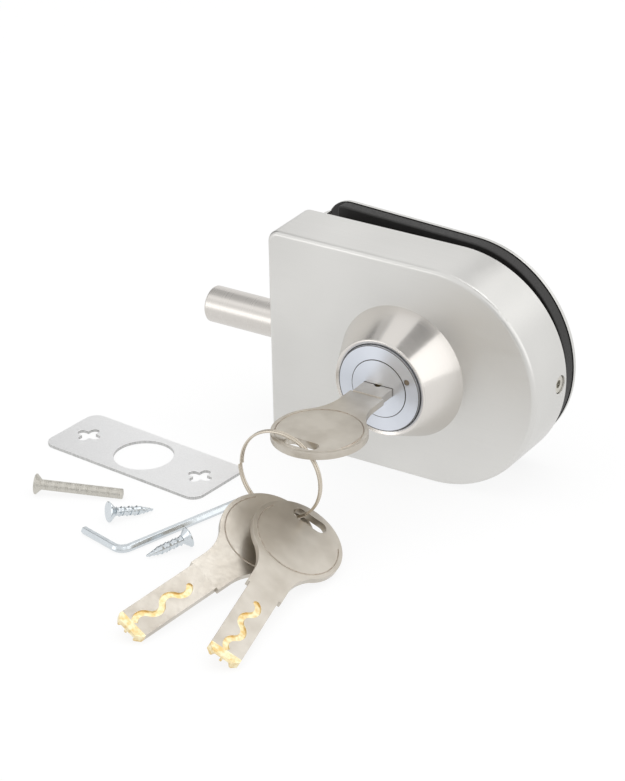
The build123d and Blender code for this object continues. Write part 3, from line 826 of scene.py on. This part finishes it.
def make_key(node, soft):
    """A key in nickel, bare brass in its track and at its forked tip, with painted shadow in brown on its
    medallion's rim.
    """
    made = object_from(node + "_finished", merged_copy(node))
    mesh = made.data
    for name in KEY_FINISHES:
        mesh.materials.append(finish(name))
    bare = KEY_FINISHES.index("milled_brass")
    tip, along, normal = key_frame(mesh)
    side = normal.cross(along)
    cut_across(mesh, tip + along * FORK_LENGTH, along)
    for polygon in mesh.polygons:
        away = polygon.center - tip
        reach = away.dot(along)
        sunk = abs(away.dot(normal)) < BLADE_HALF_THICKNESS - CUT_MARGIN
        on_blade = reach < BLADE_LENGTH - NECK_MARGIN
        clear_of_side = abs(away.dot(side)) < BLADE_HALF_WIDTH - SIDE_MARGIN
        if reach < FORK_LENGTH or (sunk and on_blade and clear_of_side):
            polygon.material_index = bare
    soften_edges(made, soft)
    add_beads(made.data, tip + along * MEDALLION_REACH, along, normal)
    claim(made, node)


class LOCK_OT_key_ring(Operator):
    """Winds the split ring from its wire"""
    bl_idname = "lock.key_ring"
    bl_label = "Key ring"

    def execute(self, context):
        turns = context.scene.lock_sizes.ring_turns
        low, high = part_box("key_ring")
        radius = (high.z - low.z) / 2 - RING_INSET
        height = turns * RING_TURN_STEP * RING_WIRE_RADIUS
        mesh = coil_mesh(
            "key_ring_wire", "tempered_wire", turns=float(turns), start_radius=radius,
            end_radius=radius, height=height, section_radius=RING_WIRE_RADIUS, steps=RING_STEPS,
            section_sides=RING_SIDES)
        mesh.transform(Matrix.Translation((0, 0, -height / 2)))
        axis_along_y = Matrix(((-1, 0, 0, 0), (0, 0, 1, 0), (0, 1, 0, 0), (0, 0, 0, 1)))
        mesh.transform(Matrix.Translation((low + high) / 2) @ axis_along_y)
        claim(object_from("key_ring_wire", mesh), "key_ring")
        return {"FINISHED"}


class LOCK_OT_fixings(Operator):
    """Finishes the strike plate and the hex key, and turns the screws with their threads"""
    bl_idname = "lock.fixings"
    bl_label = "Loose fixings"

    def execute(self, context):
        sizes = context.scene.lock_sizes
        plate = carried("strike_plate", "rolled_stainless", 0.6 * sizes.edge_round)
        # The edges are rougher sheared metal, and their darker colour is partly painted shadow along the
        # plate's foot
        second_finish(plate, "sheared_edge_and_shade", lambda normal: abs(normal.z) < EDGE_LEAN)
        carried("hex_key", "bright_zinc", sizes.edge_round)
        make_screws("machine_screw", "plain_steel", pitch=sizes.machine_pitch,
                    shank_radius=1.5 * MM, head_radius=2.85 * MM, point=0.3 * MM, ridge=0.1 * MM)
        make_screws("tapping_screws", "bright_zinc", pitch=sizes.tapping_pitch,
                    shank_radius=1.45 * MM, head_radius=2.85 * MM, point=4.0 * MM, ridge=0.4 * MM)
        return {"FINISHED"}


def cross_recess(head_radius):
    """Cutter for the cross in a screw's head, along local x."""
    work = bmesh.new()
    narrow = RECESS_ARM * head_radius
    for width, height in ((head_radius, narrow), (narrow, head_radius)):
        box = bmesh.ops.create_cube(work, size=1.0)
        scale = Matrix.Diagonal((2 * RECESS_DEPTH, width, height, 1))
        bmesh.ops.transform(work, matrix=scale, verts=box["verts"])
    return mesh_from("cross_recess", work)


def screw_blank(node, profile, head_radius):
    """Turned blank of a screw along local x, with the cross cut into its head."""
    blank = object_from(node, turned(profile))
    cutter = object_from("cutter", cross_recess(head_radius))
    cut = blank.modifiers.new("cross", "BOOLEAN")
    cut.object = cutter
    cut.solver = "EXACT"
    bake(blank)
    bpy.data.objects.remove(cutter)
    mesh = blank.data
    bpy.data.objects.remove(blank)
    return mesh


def make_screws(node, material, pitch, shank_radius, head_radius, point, ridge):
    """Every screw of a node, each turned about its own axis with a ridge wound round its core.

    The point is the length of the tapered tip, and a long one carries the ridge almost to its end.
    """
    path_radius = shank_radius - ridge
    core = shank_radius - RIDGE_SHOWING * ridge
    neck = HEAD_RIM + head_radius - core
    thread_start = neck - THREAD_RUN_IN
    along_x = Matrix.Rotation(math.radians(90), 4, "Y")
    work = bmesh.new()
    for points, triangles in loose_solids(merged_copy(node)):
        start, axis, length = screw_axis(points, triangles)
        taper_start = length - point
        profile = [
            (0, 0), (0, head_radius - HEAD_EDGE_WIDTH), (HEAD_EDGE_DEPTH, head_radius),
            (HEAD_RIM, head_radius), (neck, core), (taper_start, core),
            (length - POINT_DEPTH, POINT_WIDTH * core), (length, 0)]
        run = taper_start - thread_start
        thread = coil_mesh(
            "thread", material, turns=run / pitch, start_radius=path_radius, end_radius=path_radius,
            height=run, section_radius=ridge, steps=THREAD_STEPS, section_sides=THREAD_SIDES)
        thread.transform(Matrix.Translation((thread_start, 0, 0)) @ along_x)
        parts = [screw_blank(node, profile, head_radius), thread]
        if point > 2 * pitch:
            run = point - THREAD_RUN_OUT * pitch
            tip = coil_mesh(
                "thread_tip", material, turns=run / pitch, start_radius=path_radius,
                end_radius=TIP_CORE * core, height=run, section_radius=TIP_RIDGE * ridge,
                steps=THREAD_STEPS, section_sides=THREAD_SIDES)
            tip.transform(Matrix.Translation((taper_start, 0, 0)) @ along_x)
            parts.append(tip)
        turn = axis.to_track_quat("X", "Z").to_matrix().to_4x4()
        for mesh in parts:
            mesh.transform(Matrix.Translation(start) @ turn)
            work.from_mesh(mesh)
    made = object_from(node + "_threaded", mesh_from(node + "_threaded", work))
    made.data.materials.append(finish(material))
    for polygon in made.data.polygons:
        polygon.material_index = 0
        polygon.use_smooth = True
    made.data.set_sharp_from_angle(angle=THREAD_SHARP_ANGLE)
    claim(made, node)


class LOCK_OT_stage(Operator):
    """Sets the floor, the pale surroundings, the lamps and the camera"""
    bl_idname = "lock.stage"
    bl_label = "Stage"

    def execute(self, context):
        look = context.scene.stage_look
        make_floor(look)
        make_world(look)
        overhead = make_lamp("overhead", OVERHEAD_PLACE, (0, 0, 0), OVERHEAD_SIZE, look.overhead_power)
        overhead.visible_glossy = False
        for name, place, size, share in SOFT_LAMPS:
            make_lamp(name, place, LAMP_TARGET, size, share * look.side_power)
        for name, direction, width, height, level in CARDS:
            make_card(name, direction, width, height, level)
        make_camera()
        context.scene.view_settings.view_transform = "Standard"
        return {"FINISHED"}


def flat_mesh(name, width, height):
    """Rectangle round the origin, facing up."""
    x = width / 2
    y = height / 2
    mesh = bpy.data.meshes.new(name)
    mesh.from_pydata([(-x, -y, 0), (x, -y, 0), (x, y, 0), (-x, y, 0)], [], [(0, 1, 2, 3)])
    return mesh


def make_floor(look):
    """White paper, mostly plain white where it is seen or mirrored, so that its shadows stay faint."""
    mesh = flat_mesh("floor", FLOOR_SIZE, FLOOR_SIZE)
    material = bpy.data.materials.new("white_paper")
    tree = empty_tree(material)
    paper = add(tree, "ShaderNodeBsdfDiffuse", {"Color": (*look.floor_colour, 1)})
    white = add(tree, "ShaderNodeEmission", {"Color": WHITE, "Strength": 1.0})
    share = add(tree, "ShaderNodeMath", {"operation": "MULTIPLY", 1: FLOOR_WHITENESS},
                [(0, background_share(tree))])
    mix = add(tree, "ShaderNodeMixShader", {}, [
        (0, share.outputs["Value"]), (1, paper.outputs["BSDF"]), (2, white.outputs["Emission"])])
    add(tree, "ShaderNodeOutputMaterial", {}, [("Surface", mix.outputs["Shader"])])
    mesh.materials.append(material)
    floor = object_from("floor", mesh)


def background_share(tree):
    """1 for rays that show the background: the camera's, and those mirrored or passed on to it."""
    path = add(tree, "ShaderNodeLightPath")
    either = add(tree, "ShaderNodeMath", {"operation": "MAXIMUM"}, [
        (0, path.outputs["Is Camera Ray"]), (1, path.outputs["Is Glossy Ray"])])
    return add(tree, "ShaderNodeMath", {"operation": "MAXIMUM"}, [
        (0, either.outputs["Value"]), (1, path.outputs["Is Transmission Ray"])]).outputs["Value"]


def make_world(look):
    """Pale surroundings, plain white where they are seen or mirrored."""
    world = bpy.data.worlds.new("studio")
    bpy.context.scene.world = world
    tree = empty_tree(world)
    studio = add(tree, "ShaderNodeBackground", {"Color": WHITE, "Strength": look.world_level})
    white = add(tree, "ShaderNodeBackground", {"Color": WHITE, "Strength": 1.0})
    mix = add(tree, "ShaderNodeMixShader", {}, [
        (0, background_share(tree)), (1, studio.outputs["Background"]),
        (2, white.outputs["Background"])])
    add(tree, "ShaderNodeOutputWorld", {}, [("Surface", mix.outputs["Shader"])])


def make_card(name, direction, width, height, level):
    """Grey card that faces the lock and is seen only as a reflection."""
    facing = Vector(direction).normalized()
    turn = facing.to_track_quat("Z", "Y").to_matrix().to_4x4()
    mesh = flat_mesh(name, width, height)
    mesh.flip_normals()
    mesh.transform(Matrix.Translation(facing * CARD_DISTANCE) @ turn)
    material = bpy.data.materials.new(name + "_paper")
    tree = empty_tree(material)
    paper = add(tree, "ShaderNodeEmission", {"Color": WHITE, "Strength": level})
    add(tree, "ShaderNodeOutputMaterial", {}, [("Surface", paper.outputs["Emission"])])
    mesh.materials.append(material)
    card = object_from(name, mesh)
    card.visible_camera = False
    card.visible_diffuse = False
    card.visible_shadow = False


def make_lamp(name, place, aim, size, power):
    """Square soft lamp at a place, turned to a point."""
    data = bpy.data.lights.new(name, "AREA")
    data.shape = "SQUARE"
    data.size = size
    data.energy = power
    lamp = object_from(name, data)
    lamp.location = place
    lamp.rotation_mode = "QUATERNION"
    lamp.rotation_quaternion = (Vector(aim) - Vector(place)).to_track_quat("-Z", "Y")
    return lamp


def make_camera():
    """Camera placed as the photograph's was, by its fit to the case's edges."""
    azimuth, elevation, roll = (math.radians(angle) for angle in (AZIMUTH, ELEVATION, ROLL))
    level = math.cos(elevation)
    back = Vector((math.sin(azimuth) * level, -math.cos(azimuth) * level, math.sin(elevation)))
    right = Vector((math.cos(azimuth), math.sin(azimuth), 0))
    up = back.cross(right)
    rolled_right = right * math.cos(roll) + up * math.sin(roll)
    rolled_up = up * math.cos(roll) - right * math.sin(roll)
    data = bpy.data.cameras.new("photo_camera")
    data.sensor_width = SENSOR
    data.lens = FOCAL_PIXELS * SENSOR / max(PHOTO_WIDTH, PHOTO_HEIGHT)
    data.clip_start = CLIP_START
    data.clip_end = CLIP_END
    camera = object_from("photo_camera", data)
    turn = Matrix((rolled_right, rolled_up, back)).transposed().to_4x4()
    camera.matrix_world = Matrix.Translation(TARGET + back * DISTANCE) @ turn
    bpy.context.scene.camera = camera


class LOCK_PT_panel(Panel):
    """Lists the sizes, the looks and the pieces of the lock"""
    bl_idname = "LOCK_PT_panel"
    bl_label = "Glass Door Lock"
    bl_space_type = "VIEW_3D"
    bl_region_type = "UI"
    bl_category = "Glass Door Lock"

    def draw(self, context):
        for group in (context.scene.lock_sizes, context.scene.stage_look):
            for name in group.__annotations__:
                self.layout.prop(group, name)
        for operator in OPERATORS:
            self.layout.operator(operator.bl_idname)


OPERATORS = (
    LOCK_OT_case, LOCK_OT_cylinder, LOCK_OT_drive, LOCK_OT_glass_clamp, LOCK_OT_keys,
    LOCK_OT_key_ring, LOCK_OT_fixings, LOCK_OT_stage,
)
CLASSES = (LockSizes, StageLook, *OPERATORS, LOCK_PT_panel)


def register():
    for item in CLASSES:
        bpy.utils.register_class(item)
    bpy.types.Scene.lock_sizes = PointerProperty(type=LockSizes)
    bpy.types.Scene.stage_look = PointerProperty(type=StageLook)


def unregister():
    del bpy.types.Scene.stage_look
    del bpy.types.Scene.lock_sizes
    for item in reversed(CLASSES):
        bpy.utils.unregister_class(item)


def main():
    register()
    bpy.ops.lock.case()
    bpy.ops.lock.cylinder()
    bpy.ops.lock.drive()
    bpy.ops.lock.glass_clamp()
    bpy.ops.lock.keys()
    bpy.ops.lock.key_ring()
    bpy.ops.lock.fixings()
    bpy.ops.lock.stage()


if __name__ == "__main__":
    main()
